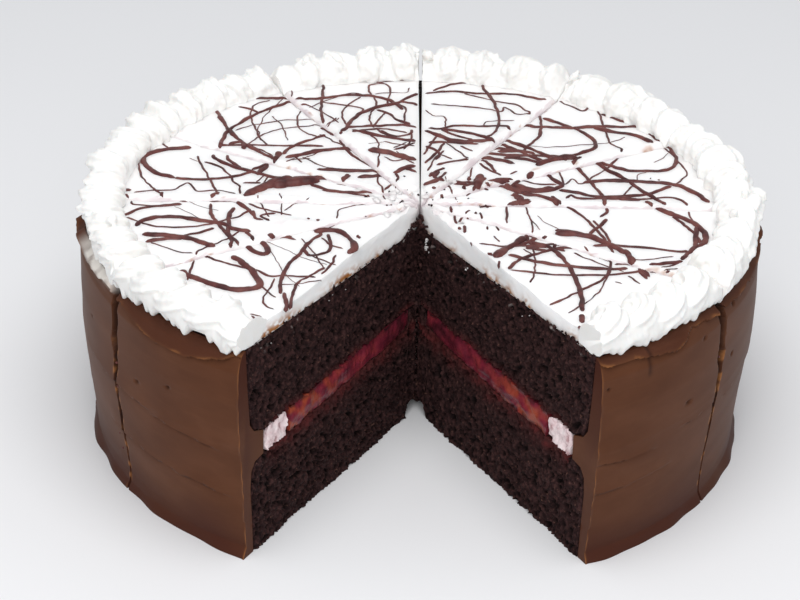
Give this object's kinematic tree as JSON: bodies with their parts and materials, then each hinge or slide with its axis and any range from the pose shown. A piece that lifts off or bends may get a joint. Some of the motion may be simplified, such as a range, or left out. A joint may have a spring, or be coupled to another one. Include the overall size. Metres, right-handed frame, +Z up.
{
  "type": "black forest cake",
  "caption": "Round layered chocolate cake with cherry filling, chocolate coating, whipped cream top and piped rim, cut into slices with a wedge taken out.",
  "frame": {"origin": "bottom centre of the cake's box, on the surface it stands on; the cake's round axis stands a little behind it because the wedge is open to the front", "axes": "+Z up, -Y towards the open wedge, +X to the right seen from the wedge"},
  "size_m": [0.2458, 0.2302, 0.0993],
  "materials": {
    "dark_sponge": "open dark crumb, dull",
    "cherry_filling": "wet crimson fruit gel",
    "filling_cream": "soft pale pink cream",
    "chocolate_coating": "satin spread chocolate cream",
    "whipped_cream": "soft white whipped cream"
  },
  "bodies": {
    "root": {"sponge_lower_01": "dark_sponge", "sponge_upper_01": "dark_sponge", "cherry_filling_01": "cherry_filling", "cream_ring_01": "filling_cream", "coating_01": "chocolate_coating", "cream_top_01": "whipped_cream", "sponge_lower_02": "dark_sponge", "sponge_upper_02": "dark_sponge", "cherry_filling_02": "cherry_filling", "cream_ring_02": "filling_cream", "coating_02": "chocolate_coating", "cream_top_02": "whipped_cream", "sponge_lower_03": "dark_sponge", "sponge_upper_03": "dark_sponge", "cherry_filling_03": "cherry_filling", "cream_ring_03": "filling_cream", "coating_03": "chocolate_coating", "cream_top_03": "whipped_cream", "sponge_lower_04": "dark_sponge", "sponge_upper_04": "dark_sponge", "cherry_filling_04": "cherry_filling", "cream_ring_04": "filling_cream", "coating_04": "chocolate_coating", "cream_top_04": "whipped_cream", "sponge_lower_05": "dark_sponge", "sponge_upper_05": "dark_sponge", "cherry_filling_05": "cherry_filling", "cream_ring_05": "filling_cream", "coating_05": "chocolate_coating", "cream_top_05": "whipped_cream", "sponge_lower_06": "dark_sponge", "sponge_upper_06": "dark_sponge", "cherry_filling_06": "cherry_filling", "cream_ring_06": "filling_cream", "coating_06": "chocolate_coating", "cream_top_06": "whipped_cream", "sponge_lower_07": "dark_sponge", "sponge_upper_07": "dark_sponge", "cherry_filling_07": "cherry_filling", "cream_ring_07": "filling_cream", "coating_07": "chocolate_coating", "cream_top_07": "whipped_cream", "sponge_lower_08": "dark_sponge", "sponge_upper_08": "dark_sponge", "cherry_filling_08": "cherry_filling", "cream_ring_08": "filling_cream", "coating_08": "chocolate_coating", "cream_top_08": "whipped_cream", "sponge_lower_09": "dark_sponge", "sponge_upper_09": "dark_sponge", "cherry_filling_09": "cherry_filling", "cream_ring_09": "filling_cream", "coating_09": "chocolate_coating", "cream_top_09": "whipped_cream", "sponge_lower_10": "dark_sponge", "sponge_upper_10": "dark_sponge", "cherry_filling_10": "cherry_filling", "cream_ring_10": "filling_cream", "coating_10": "chocolate_coating", "cream_top_10": "whipped_cream"}
  },
  "joints": []
}
